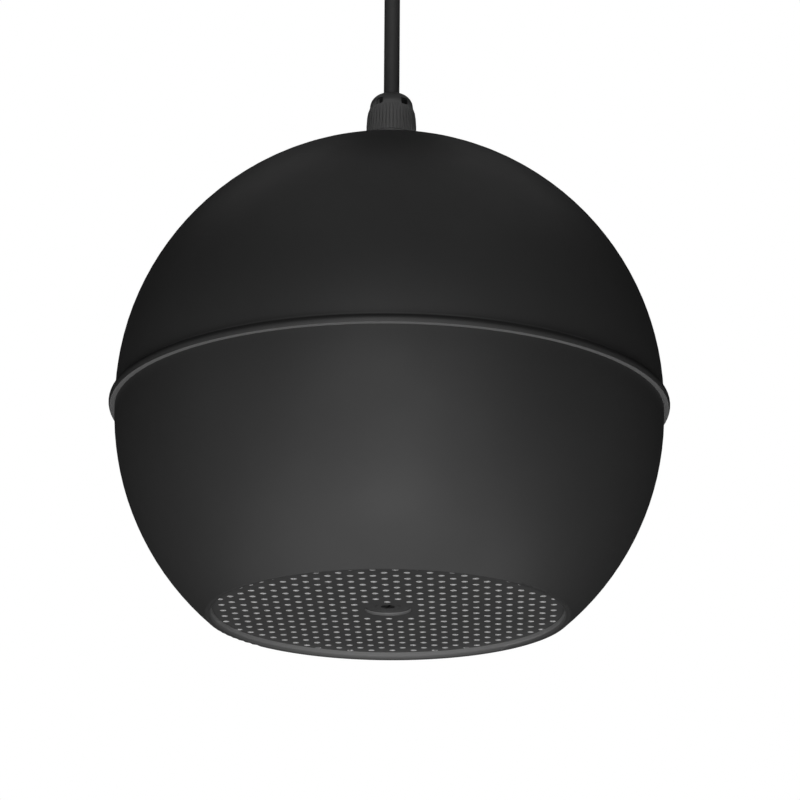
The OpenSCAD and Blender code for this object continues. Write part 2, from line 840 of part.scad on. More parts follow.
// Board for the driver's two terminals, on the frame's tab
module terminal_board() {
    color([0.5, 0.3, 0.15]) at_rim() difference() {
        translate([-board_x - 9.5, -8.5, plate_seat_z]) cube([13, 17, 1.6]);
        for (side = [-1, 1]) translate([lug_x, side * wire_y, plate_seat_z - 1]) cylinder(r = 1, h = 4);
    }
}

module terminal_lugs() {
    color([0.8, 0.7, 0.35]) at_rim() for (side = [-1, 1]) {
        translate([lug_x, side * wire_y, plate_seat_z + 1.6]) {
            translate([-2.5, -2, 0]) cube([5, 4, 0.6]);
            translate([0, 0, 0.5]) ring(1.6, 0.9, 3);
            translate([0, 0, -1.6]) cylinder(r = 0.95, h = 1.7);
        }
    }
}

module spider() {
    wave = 1.1;
    spider_z = ledge_ring_z - 0.8;
    color([0.85, 0.75, 0.45]) at_rim() rotate_extrude() union() {
        translate([former_r, spider_z]) square([3, 0.8]);
        for (k = [0 : 2]) translate([former_r + 2.9 + k * 5.2, 0]) {
            polygon([
                [0, spider_z], [2.6, spider_z - wave], [5.2, spider_z],
                [5.2, spider_z + 0.8], [2.6, spider_z + 0.8 - wave], [0, spider_z + 0.8]
            ]);
        }
        translate([former_r + 18.4, spider_z]) square([36 - former_r - 18.4, 0.8]);
    }
}

module voice_coil() {
    color(copper) at_rim() translate([0, 0, coil_z]) ring(former_r + coil_t, former_r, winding_l);
}

module coil_former() {
    color([0.75, 0.6, 0.35]) at_rim() translate([0, 0, cone_neck_z - 1.5]) {
        ring(former_r, former_r - former_t, coil_z + winding_l + 0.5 - cone_neck_z + 1.5);
    }
}

module cone() {
    paper = 0.8;
    color([0.12, 0.12, 0.12]) at_rim() rotate_extrude() {
        polygon([
            [cone_lip_r, cone_front_z], [cone_lip_r, cone_front_z + paper], [cone_r, cone_front_z + paper],
            [former_r, cone_neck_z + paper], [former_r, cone_neck_z - 0.1], [cone_r - 0.5, cone_front_z]
        ]);
    }
}

module dust_cap() {
    cone_slope = (cone_neck_z - cone_front_z) / (cone_r - 0.5 - former_r);
    cap_z = cone_neck_z - 0.1 - (cap_r - former_r) * cone_slope;
    bulge_r = (cap_r * cap_r + cap_bulge * cap_bulge) / (2 * cap_bulge);
    color([0.1, 0.1, 0.1]) at_rim() rotate_extrude() intersection() {
        difference() {
            translate([0, cap_z - cap_bulge + bulge_r]) circle(r = bulge_r);
            translate([0, cap_z - cap_bulge + bulge_r]) circle(r = bulge_r - 0.5);
        }
        translate([0, cap_z - 10]) square([cap_r - 0.1, 10]);
    }
}

module surround() {
    roll_x = (roll_in + roll_out) / 2;
    color(rubber_black) at_rim() rotate_extrude() {
        translate([cone_r - 0.2, flange_z - surround_t]) square([roll_in - cone_r + 0.2, surround_t]);
        translate([roll_out, flange_z - surround_t]) square([ledge_r - 0.3 - roll_out, surround_t]);
        intersection() {
            difference() {
                translate([roll_x, flange_z - 0.3]) circle(r = roll_depth - 0.3);
                translate([roll_x, flange_z - 0.3]) circle(r = roll_r - 0.3);
            }
            translate([roll_in - 1, flange_z - 10]) square([roll_out - roll_in + 2, 10 - surround_t / 2]);
        }
    }
}

// Grille and what holds it

module grille_bridge() {
    color(steel) at_rim() difference() {
        translate([-bridge_half, -bridge_w / 2, bridge_z]) cube([2 * bridge_half, bridge_w, bridge_t]);
        translate([0, 0, bridge_z - 1]) cylinder(r = 3, h = bridge_t + 2);
        for (side = [-1, 1]) {
            translate([side * bridge_screw_x, 0, bridge_z - 1]) cylinder(r = 1.5, h = bridge_t + 2);
        }
    }
}

module bridge_bush() {
    color(steel) at_rim() difference() {
        union() {
            translate([0, 0, bridge_z + bridge_t]) cylinder(r = 4, h = 3);
            translate([0, 0, bridge_z + 0.2]) cylinder(r = 2.97, h = bridge_t);
        }
        translate([0, 0, bridge_z - 1]) cylinder(r = screw_shank_r + 0.05, h = 8);
    }
}

module bridge_screws() {
    color(steel) at_rim() for (side = [-1, 1]) {
        translate([side * bridge_screw_x, 0, bridge_z + bridge_t]) pan_screw(1.15, 3.6, 2, 1.4);
    }
}

module dust_cloth() {
    color([0.05, 0.05, 0.05]) at_rim() translate([0, 0, ledge_z]) {
        ring(ledge_r - 0.3, hole_free_r - 1, cloth_t);
    }
}

// A punched plate with a pressed dish for the screw in its middle
module grille() {
    color(paint_black) at_rim() union() {
        translate([0, 0, grille_face_z]) linear_extrude(grille_t) difference() {
            circle(r = grille_r);
            circle(r = dish_d / 2 - 0.2);
            rotate(hole_turn) grille_holes();
        }
        rotate_extrude() dish_outline();
    }
}

// Square pattern turned by 45 degrees: rows half a pitch apart share their holes in turn
module grille_holes() {
    step = hole_pitch / sqrt(2);
    shift_x = 0.05;
    shift_y = -3.02;
    count = ceil(hole_field_r / step);
    for (i = [-count : count], j = [-count : count]) {
        place = [i * step + shift_x, j * step + shift_y];
        off = norm(place);
        if ((i + j) % 2 == 0 && off < hole_field_r && off > hole_free_r) translate(place) circle(d = hole_d);
    }
}

module dish_outline() {
    dish_r = dish_d / 2;
    floor_z = grille_face_z + dish_depth;
    sink_z = floor_z + countersink_h;
    hole_r = screw_shank_r + 0.2;
    polygon([
        [dish_r, grille_face_z], [dish_r - 0.35, floor_z], [screw_head_r + 0.15, floor_z], [hole_r, sink_z],
        [hole_r, bridge_z], [screw_head_r, bridge_z], [screw_head_r + 1.6, floor_z + grille_t],
        [dish_r - 0.2, floor_z + grille_t], [dish_r + 0.4, ledge_z], [dish_r + 0.4, grille_face_z]
    ]);
}

module grille_screw() {
    floor_z = grille_face_z + dish_depth;
    color(paint_black) at_rim() difference() {
        union() {
            translate([0, 0, floor_z]) {
                cylinder(r1 = screw_head_r, r2 = screw_shank_r, h = countersink_h - 0.1);
            }
            translate([0, 0, floor_z + 0.5]) {
                cylinder(r = screw_shank_r, h = bridge_z + bridge_t + 2.6 - floor_z);
            }
        }
        for (turn = [20, 110]) rotate(turn) translate([-2.3, -0.4, floor_z - 1]) cube([4.6, 0.8, 2.2]);
    }
}

ceiling_plate();
ceiling_cup();
cup_screws();
cord_grip();
cord_grip_nut();
cord_grip_screw();
ceiling_block();
ceiling_block_screws();
cord_upper_end();
ceiling_cores();
cord();
gland_nut();
gland_body();
gland_seal();
gland_locknut();
cord_lower_end();
cord_collar();
upper_shell();
rim_seal();
lower_shell();
carrier_plate();
carrier_screws();
transformer_core();
transformer_bobbin();
transformer_winding();
transformer_bracket();
bracket_screws();
terminal_block();
terminal_screws();
cord_cores();
transformer_leads();
driver_leads();
wadding();
back_plate();
magnet();
front_plate();
driver_frame();
driver_gasket();
driver_screws();
terminal_board();
terminal_lugs();
spider();
voice_coil();
coil_former();
cone();
dust_cap();
surround();
grille_bridge();
bridge_bush();
bridge_screws();
dust_cloth();
grille();
grille_screw();
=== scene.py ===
import json
import math

import bpy
from mathutils import Matrix, Quaternion, Vector


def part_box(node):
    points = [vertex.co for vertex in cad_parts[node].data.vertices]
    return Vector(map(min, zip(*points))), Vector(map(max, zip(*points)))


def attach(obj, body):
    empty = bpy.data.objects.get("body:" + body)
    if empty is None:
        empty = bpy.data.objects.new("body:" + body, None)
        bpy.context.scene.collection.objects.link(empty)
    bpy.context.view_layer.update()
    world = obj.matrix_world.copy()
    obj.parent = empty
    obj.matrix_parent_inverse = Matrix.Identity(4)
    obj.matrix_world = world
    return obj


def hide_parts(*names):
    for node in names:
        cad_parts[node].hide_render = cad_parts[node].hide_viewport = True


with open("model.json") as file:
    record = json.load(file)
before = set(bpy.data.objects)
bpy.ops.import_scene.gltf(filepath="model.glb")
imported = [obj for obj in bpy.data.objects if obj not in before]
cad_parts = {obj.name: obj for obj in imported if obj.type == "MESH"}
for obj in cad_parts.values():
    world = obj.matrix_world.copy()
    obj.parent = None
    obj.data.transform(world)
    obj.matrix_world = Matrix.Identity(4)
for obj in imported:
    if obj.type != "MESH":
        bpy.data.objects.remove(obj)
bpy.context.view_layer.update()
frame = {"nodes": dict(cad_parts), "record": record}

scene = bpy.context.scene
mm = 0.001
nodes = frame["nodes"]
rimHeight = 2.65 * mm
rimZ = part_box("lower_shell")[1][2] - rimHeight      # height of the rim's lower edge
patchRange = (0.3, 0.7)     # part of the noise's range that colours and roughness follow
print("frame loaded:", len(nodes), "nodes, rim at", round(rimZ, 4))


# Camera: it looks up at the ball from in front and below
cameraValues = {
    "distance": 1.1644,       # from the middle of the rim
    "below": 17.75,           # degrees below the rim
    "roll": 0.40,
    "turnRight": -0.16,
    "turnUp": 0.22,
    "sideStep": 0.00025,
    "lens": 159.6,
    "sensor": 36.0,
}


def makeCamera(values):
    below = math.radians(values["below"])
    target = Vector((0.0, 0.0, rimZ))
    away = Vector((0.0, -math.cos(below), -math.sin(below))) * values["distance"]
    look = (-away).normalized()
    right = Vector((1.0, 0.0, 0.0))
    up = right.cross(look)
    roll = math.radians(values["roll"])
    right, up = (math.cos(roll) * right + math.sin(roll) * up,
                 -math.sin(roll) * right + math.cos(roll) * up)
    turn = Quaternion(up, math.radians(values["turnRight"]))
    look = turn @ look
    right = turn @ right
    turn = Quaternion(right, math.radians(values["turnUp"]))
    look = turn @ look
    up = turn @ up
    data = bpy.data.cameras.new("photoCamera")
    data.lens = values["lens"]
    data.sensor_width = values["sensor"]
    data.clip_start = 0.05
    data.clip_end = 50.0
    camera = bpy.data.objects.new("photoCamera", data)
    scene.collection.objects.link(camera)
    place = target + away + Vector((values["sideStep"], 0.0, 0.0))
    axes = Matrix((right, up, -look)).transposed().to_4x4()
    camera.matrix_world = Matrix.Translation(place) @ axes
    scene.camera = camera
    return camera


makeCamera(cameraValues)
print("camera made")


def deselectAll():
    if bpy.context.mode != "OBJECT":
        bpy.ops.object.mode_set(mode="OBJECT")
    bpy.ops.object.select_all(action="DESELECT")


# Cord, taut between the gland and the grip of the ceiling fitting
cordValues = {
    "diameter": 5.3 * mm,
    "route": [(0.0, 0.0, -82.3 * mm), (0.0, 0.0, -60.15 * mm), (0.0, 0.0, -38.0 * mm)],
    "points": 17,
    "sides": 12,
}


def makeCord(values):
    lower = Vector(values["route"][0])
    upper = Vector(values["route"][-1])
    data = bpy.data.curves.new("hangingCord", "CURVE")
    data.dimensions = "3D"
    data.bevel_depth = values["diameter"] / 2
    data.bevel_resolution = values["sides"]
    spline = data.splines.new("POLY")
    spline.points.add(values["points"] - 1)
    for k, point in enumerate(spline.points):
        place = lower.lerp(upper, k / (values["points"] - 1))
        point.co = (*place, 1.0)
    piece = bpy.data.objects.new("hangingCord", data)
    scene.collection.objects.link(piece)
    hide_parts("cord")
    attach(piece, "housing")
    return piece


cord = makeCord(cordValues)
print("cord made")


# Shared effects as node groups
def newGroup(name, inputs, outputs):
    group = bpy.data.node_groups.new(name, "ShaderNodeTree")
    for socketName, kind, value in inputs:
        socket = group.interface.new_socket(name=socketName, in_out="INPUT", socket_type=kind)
        socket.default_value = value
    for socketName, kind in outputs:
        group.interface.new_socket(name=socketName, in_out="OUTPUT", socket_type=kind)
    enter = group.nodes.new("NodeGroupInput")
    leave = group.nodes.new("NodeGroupOutput")
    return group, enter, leave


def addNode(tree, kind, **settings):
    node = tree.nodes.new(kind)
    for key, value in settings.items():
        setattr(node, key, value)
    return node


def makeFineGrain():
    # moulded or sprayed texture: small bumps, and a mask that varies slowly over the surface
    group, enter, leave = newGroup(
        "fineGrain",
        [("Grain Size", "NodeSocketFloat", 0.0006), ("Bump", "NodeSocketFloat", 0.3),
         ("Patch Size", "NodeSocketFloat", 0.03)],
        [("Grain", "NodeSocketFloat"), ("Patches", "NodeSocketFloat"), ("Normal", "NodeSocketVector")])
    link = group.links.new
    place = addNode(group, "ShaderNodeTexCoord")
    perMetre = addNode(group, "ShaderNodeMath", operation="DIVIDE")
    perMetre.inputs[0].default_value = 1.0
    link(enter.outputs["Grain Size"], perMetre.inputs[1])
    grain = addNode(group, "ShaderNodeTexNoise")
    grain.inputs["Detail"].default_value = 3.0
    grain.inputs["Roughness"].default_value = 0.6
    link(place.outputs["Object"], grain.inputs["Vector"])
    link(perMetre.outputs[0], grain.inputs["Scale"])
    perPatch = addNode(group, "ShaderNodeMath", operation="DIVIDE")
    perPatch.inputs[0].default_value = 1.0
    link(enter.outputs["Patch Size"], perPatch.inputs[1])
    patches = addNode(group, "ShaderNodeTexNoise")
    patches.inputs["Detail"].default_value = 4.0
    link(place.outputs["Object"], patches.inputs["Vector"])
    link(perPatch.outputs[0], patches.inputs["Scale"])
    bump = addNode(group, "ShaderNodeBump")
    bump.inputs["Distance"].default_value = 0.00008
    link(enter.outputs["Bump"], bump.inputs["Strength"])
    link(grain.outputs["Fac"], bump.inputs["Height"])
    link(grain.outputs["Fac"], leave.inputs["Grain"])
    link(patches.outputs["Fac"], leave.inputs["Patches"])
    link(bump.outputs["Normal"], leave.inputs["Normal"])
    return group


def makeRings():
    # fine lines at a pitch, counted out from the axis of the ball or along it
    group, enter, leave = newGroup(
        "turnedRings",
        [("Pitch", "NodeSocketFloat", 0.0008), ("Along Z", "NodeSocketFloat", 0.0)],
        [("Line", "NodeSocketFloat"), ("Normal", "NodeSocketVector")])
    link = group.links.new
    place = addNode(group, "ShaderNodeTexCoord")
    parts = addNode(group, "ShaderNodeSeparateXYZ")
    link(place.outputs["Object"], parts.inputs[0])
    flat = addNode(group, "ShaderNodeCombineXYZ")
    link(parts.outputs["X"], flat.inputs["X"])
    link(parts.outputs["Y"], flat.inputs["Y"])
    radius = addNode(group, "ShaderNodeVectorMath", operation="LENGTH")
    link(flat.outputs[0], radius.inputs[0])
    choose = addNode(group, "ShaderNodeMix", data_type="FLOAT")
    link(enter.outputs["Along Z"], choose.inputs["Factor"])
    link(radius.outputs["Value"], choose.inputs["A"])
    link(parts.outputs["Z"], choose.inputs["B"])
    turns = addNode(group, "ShaderNodeMath", operation="DIVIDE")
    link(choose.outputs["Result"], turns.inputs[0])
    link(enter.outputs["Pitch"], turns.inputs[1])
    angle = addNode(group, "ShaderNodeMath", operation="MULTIPLY")
    angle.inputs[1].default_value = 2 * math.pi
    link(turns.outputs[0], angle.inputs[0])
    wave = addNode(group, "ShaderNodeMath", operation="SINE")
    link(angle.outputs[0], wave.inputs[0])
    level = addNode(group, "ShaderNodeMath", operation="MULTIPLY_ADD")
    level.inputs[1].default_value = 0.5
    level.inputs[2].default_value = 0.5
    link(wave.outputs[0], level.inputs[0])
    bump = addNode(group, "ShaderNodeBump")
    bump.inputs["Strength"].default_value = 0.4
    bump.inputs["Distance"].default_value = 0.0001
    link(level.outputs[0], bump.inputs["Height"])
    link(level.outputs[0], leave.inputs["Line"])
    link(bump.outputs["Normal"], leave.inputs["Normal"])
    return group


def makeWeave():
    # crossed threads in the plane of X and Y
    group, enter, leave = newGroup(
        "crossWeave",
        [("Thread", "NodeSocketFloat", 0.0006), ("Bump", "NodeSocketFloat", 0.5)],
        [("Thread Mask", "NodeSocketFloat"), ("Normal", "NodeSocketVector")])
    link = group.links.new
    place = addNode(group, "ShaderNodeTexCoord")
    parts = addNode(group, "ShaderNodeSeparateXYZ")
    link(place.outputs["Object"], parts.inputs[0])
    waves = []
    for axis in ("X", "Y"):
        count = addNode(group, "ShaderNodeMath", operation="DIVIDE")
        link(parts.outputs[axis], count.inputs[0])
        link(enter.outputs["Thread"], count.inputs[1])
        angle = addNode(group, "ShaderNodeMath", operation="MULTIPLY")
        angle.inputs[1].default_value = math.pi
        link(count.outputs[0], angle.inputs[0])
        wave = addNode(group, "ShaderNodeMath", operation="SINE")
        link(angle.outputs[0], wave.inputs[0])
        height = addNode(group, "ShaderNodeMath", operation="ABSOLUTE")
        link(wave.outputs[0], height.inputs[0])
        waves.append(height)
    highest = addNode(group, "ShaderNodeMath", operation="MULTIPLY")
    link(waves[0].outputs[0], highest.inputs[0])
    link(waves[1].outputs[0], highest.inputs[1])
    bump = addNode(group, "ShaderNodeBump")
    bump.inputs["Distance"].default_value = 0.0002
    link(enter.outputs["Bump"], bump.inputs["Strength"])
    link(highest.outputs[0], bump.inputs["Height"])
    link(highest.outputs[0], leave.inputs["Thread Mask"])
    link(bump.outputs["Normal"], leave.inputs["Normal"])
    return group


fineGrain = makeFineGrain()
turnedRings = makeRings()
crossWeave = makeWeave()
print("node groups made")


# Materials
def newMaterial(name, values):
    material = bpy.data.materials.new(name)
    material.use_nodes = True
    tree = material.node_tree
    surface = tree.nodes["Principled BSDF"]
    surface.inputs["Metallic"].default_value = values.get("metallic", 0.0)
    surface.inputs["Roughness"].default_value = values.get("roughness", 0.5)
    surface.inputs["Specular IOR Level"].default_value = values.get("specular", 0.5)
    return material, tree, surface


def placeGroup(tree, group, **values):
    node = tree.nodes.new("ShaderNodeGroup")
    node.node_tree = group
    for key, value in values.items():
        node.inputs[key].default_value = value
    return node


def blendColours(tree, mask, low, high, start=0.0, end=1.0):
    # a colour between low and high, as mask goes from start to end
    spread = addNode(tree, "ShaderNodeMapRange")
    spread.inputs["From Min"].default_value = start
    spread.inputs["From Max"].default_value = end
    tree.links.new(mask, spread.inputs["Value"])
    mix = addNode(tree, "ShaderNodeMix", data_type="RGBA")
    mix.inputs["A"].default_value = (*low, 1.0)
    mix.inputs["B"].default_value = (*high, 1.0)
    tree.links.new(spread.outputs["Result"], mix.inputs["Factor"])
    return mix.outputs["Result"]


def spreadValue(tree, mask, low, high, start=patchRange[0], end=patchRange[1]):
    spread = addNode(tree, "ShaderNodeMapRange")
    spread.inputs["From Min"].default_value = start
    spread.inputs["From Max"].default_value = end
    spread.inputs["To Min"].default_value = low
    spread.inputs["To Max"].default_value = high
    tree.links.new(mask, spread.inputs["Value"])
    return spread.outputs["Result"]


def grainedMaterial(name, values):
    # moulded plastic, rubber, paint, plated steel, paper and ceramic
    material, tree, surface = newMaterial(name, values)
    grain = placeGroup(tree, fineGrain, **{"Grain Size": values["grain"], "Bump": values["bump"],
                                           "Patch Size": values["patch"]})
    colour = blendColours(tree, grain.outputs["Patches"], values["dark"], values["light"], *patchRange)
    tree.links.new(colour, surface.inputs["Base Color"])
    rough = values["roughness"]
    swing = values.get("roughSwing", 0.05)
    tree.links.new(spreadValue(tree, grain.outputs["Patches"], rough + swing, rough - swing),
                   surface.inputs["Roughness"])
    tree.links.new(grain.outputs["Normal"], surface.inputs["Normal"])
    return material


def ringedMaterial(name, values):
    # laminations and wound wire, with lines across the radius or along the axis
    material, tree, surface = newMaterial(name, values)
    rings = placeGroup(tree, turnedRings, **{"Pitch": values["pitch"], "Along Z": values["alongZ"]})
    colour = blendColours(tree, rings.outputs["Line"], values["dark"], values["light"])
    tree.links.new(colour, surface.inputs["Base Color"])
    tree.links.new(rings.outputs["Normal"], surface.inputs["Normal"])
    return material


def wovenMaterial(name, values):
    material, tree, surface = newMaterial(name, values)
    weave = placeGroup(tree, crossWeave, **{"Thread": values["thread"], "Bump": values["bump"]})
    colour = blendColours(tree, weave.outputs["Thread Mask"], values["dark"], values["light"])
    tree.links.new(colour, surface.inputs["Base Color"])
    tree.links.new(weave.outputs["Normal"], surface.inputs["Normal"])
    surface.inputs["Sheen Weight"].default_value = values.get("sheen", 0.2)
    return material


def radiusAndHeight(tree):
    # distance from the ball's axis, and height over the rim's lower edge
    place = addNode(tree, "ShaderNodeTexCoord")
    spot = addNode(tree, "ShaderNodeSeparateXYZ")
    tree.links.new(place.outputs["Object"], spot.inputs[0])
    flat = addNode(tree, "ShaderNodeCombineXYZ")
    tree.links.new(spot.outputs["X"], flat.inputs["X"])
    tree.links.new(spot.outputs["Y"], flat.inputs["Y"])
    radius = addNode(tree, "ShaderNodeVectorMath", operation="LENGTH")
    tree.links.new(flat.outputs[0], radius.inputs[0])
    height = addNode(tree, "ShaderNodeMath", operation="SUBTRACT")
    height.inputs[1].default_value = rimZ
    tree.links.new(spot.outputs["Z"], height.inputs[0])
    return radius.outputs["Value"], height.outputs[0]


def stepBetween(tree, value, low, high):
    # 0 at low and 1 at high
    ramp = addNode(tree, "ShaderNodeMapRange")
    ramp.inputs["From Min"].default_value = low
    ramp.inputs["From Max"].default_value = high
    tree.links.new(value, ramp.inputs["Value"])
    return ramp.outputs["Result"]


def multiplyMasks(tree, first, *others):
    for other in others:
        both = addNode(tree, "ShaderNodeMath", operation="MULTIPLY")
        tree.links.new(first, both.inputs[0])
        tree.links.new(other, both.inputs[1])
        first = both.outputs[0]
    return first


def coverWith(tree, paint, mask, colour):
    mix = addNode(tree, "ShaderNodeMix", data_type="RGBA")
    mix.inputs["B"].default_value = (*colour, 1.0)
    tree.links.new(mask, mix.inputs["Factor"])
    tree.links.new(paint, mix.inputs["A"])
    return mix.outputs["Result"]


def bandMask(tree, value, band, soft):
    # 1 inside the band, and 0 past its soft borders
    low, high = band
    rise = stepBetween(tree, value, low - soft[0], low)
    fall = stepBetween(tree, value, high + soft[1], high)
    return multiplyMasks(tree, rise, fall)


def paintedMaterial(name, values):
    # a new material with fine grain, and its paint before anything covers it
    material, tree, surface = newMaterial(name, values)
    grain = placeGroup(tree, fineGrain, **{"Grain Size": values["grain"], "Bump": values["bump"],
                                           "Patch Size": values["patch"]})
    paint = blendColours(tree, grain.outputs["Patches"], values["dark"], values["light"], *patchRange)
    tree.links.new(grain.outputs["Normal"], surface.inputs["Normal"])
    return material, tree, surface, grain, paint


def shellMaterial(name, values):
    # shell paint: paler inside the mouth, a paler finish lifted further as painted light against the
    # recess's shade, painted highlights on the rim's foot and on the edge just over the rim, and painted
    # shadow along the top of the rim
    material, tree, surface, grain, paint = paintedMaterial(name, values)
    radius, height = radiusAndHeight(tree)
    within = values["mouthWithin"]
    inside = stepBetween(tree, radius, within + values["mouthSoft"], within)
    lip = stepBetween(tree, height, *values["lipBelow"])
    overRound = stepBetween(tree, height, *values["roundTo"])
    beyond = values["footBeyond"]
    footReach = stepBetween(tree, radius, beyond - values["footSoft"], beyond)
    footFlat = bandMask(tree, height, values["footHeights"], values["footHeightSoft"])
    rimTopShade = stepBetween(tree, height, *values["rimTopShade"])
    rimShadeEnd = stepBetween(tree, height, *values["rimShadeEnd"])
    edge = bandMask(tree, height, values["edge"], values["edgeSoft"])
    # paler mouth wall and rolled lip: a paler finish, lifted further as painted light against the
    # recess's shade
    paint = coverWith(tree, paint, multiplyMasks(tree, inside, lip), values["mouthPaleAndLitColour"])
    paint = coverWith(tree, paint, multiplyMasks(tree, inside, lip, overRound), values["wallPaleAndLitColour"])
    # painted highlight on the flat underside of the rim's foot
    paint = coverWith(tree, paint, multiplyMasks(tree, footFlat, footReach), values["footHighlightColour"])
    # painted shadow along the top of the rim, in the groove where the rim meets the upper shell
    paint = coverWith(tree, paint, multiplyMasks(tree, rimTopShade, rimShadeEnd), values["seamShadowColour"])
    # painted highlight along the upper shell's edge just over the rim
    paint = coverWith(tree, paint, edge, values["edgeHighlightColour"])
    tree.links.new(paint, surface.inputs["Base Color"])
    rough = values["roughness"]
    swing = values["roughSwing"]
    tree.links.new(spreadValue(tree, grain.outputs["Patches"], rough + swing, rough - swing),
                   surface.inputs["Roughness"])
    return material


def grilleMaterial(name, values):
    # paint on the faces, pale bare walls in the punched holes, a paler dish wall partly painted light,
    # and painted shade in the screw's recess
    material, tree, surface, grain, paint = paintedMaterial(name, values)
    radius, height = radiusAndHeight(tree)
    soft = values["radiusSoft"]
    dish = values["dishWithin"]
    upright = bandMask(tree, height, values["wallHeights"], values["wallSoft"])
    bare = multiplyMasks(tree, upright, stepBetween(tree, radius, dish, dish + soft))
    inDish = stepBetween(tree, radius, dish + soft, dish)
    dishFrom = values["dishWallFrom"]
    dishWall = stepBetween(tree, radius, dishFrom - values["dishWallSoft"], dishFrom)
    recessReach = values["recessWithin"]
    recess = stepBetween(tree, radius, recessReach + soft, recessReach)
    # paler dish wall: a paler finish, lifted further as painted light
    paint = coverWith(tree, paint, multiplyMasks(tree, upright, inDish, dishWall), values["wallPaleAndLitColour"])
    paint = coverWith(tree, paint, bare, values["bare"])
    # painted shade in the screw's recess
    paint = coverWith(tree, paint, recess, values["recessShadeColour"])
    tree.links.new(paint, surface.inputs["Base Color"])
    tree.links.new(spreadValue(tree, bare, 0.0, values["bareMetallic"], 0.0, 1.0),
                   surface.inputs["Metallic"])
    tree.links.new(spreadValue(tree, bare, values["roughness"], values["bareRoughness"], 0.0, 1.0),
                   surface.inputs["Roughness"])
    return material


def waveRoundAxis(tree, count, turn):
    # 1 at so many evenly spaced places round the axis, the first turned from the front to the right
    place = addNode(tree, "ShaderNodeTexCoord")
    spot = addNode(tree, "ShaderNodeSeparateXYZ")
    tree.links.new(place.outputs["Object"], spot.inputs[0])
    forward = addNode(tree, "ShaderNodeMath", operation="MULTIPLY")
    forward.inputs[1].default_value = -1.0
    tree.links.new(spot.outputs["Y"], forward.inputs[0])
    angle = addNode(tree, "ShaderNodeMath", operation="ARCTAN2")
    tree.links.new(spot.outputs["X"], angle.inputs[0])
    tree.links.new(forward.outputs[0], angle.inputs[1])
    turned = addNode(tree, "ShaderNodeMath", operation="MULTIPLY_ADD")
    turned.inputs[1].default_value = count
    turned.inputs[2].default_value = -count * math.radians(turn)
    tree.links.new(angle.outputs[0], turned.inputs[0])
    wave = addNode(tree, "ShaderNodeMath", operation="COSINE")
    tree.links.new(turned.outputs[0], wave.inputs[0])
    return wave.outputs[0]


def glandMaterial(name, values):
    # moulded nut, with painted shade darkening its crown and the notches round it
    material, tree, surface, grain, paint = paintedMaterial(name, values)
    radius, height = radiusAndHeight(tree)
    wave = waveRoundAxis(tree, values["notches"], values["notchTurn"])
    inNotch = stepBetween(tree, wave, *values["notchWave"])
    notchBand = bandMask(tree, height, values["notchHeights"], values["notchSoft"])
    # painted shade on the crown, the top facing away from the light below
    paint = coverWith(tree, paint, stepBetween(tree, height, *values["crown"]), values["crownShadeColour"])
    # painted shade in the notches round the nut
    paint = coverWith(tree, paint, multiplyMasks(tree, inNotch, notchBand), values["notchShadeColour"])
    tree.links.new(paint, surface.inputs["Base Color"])
    return material


def grey(level):
    return (level, level, level)


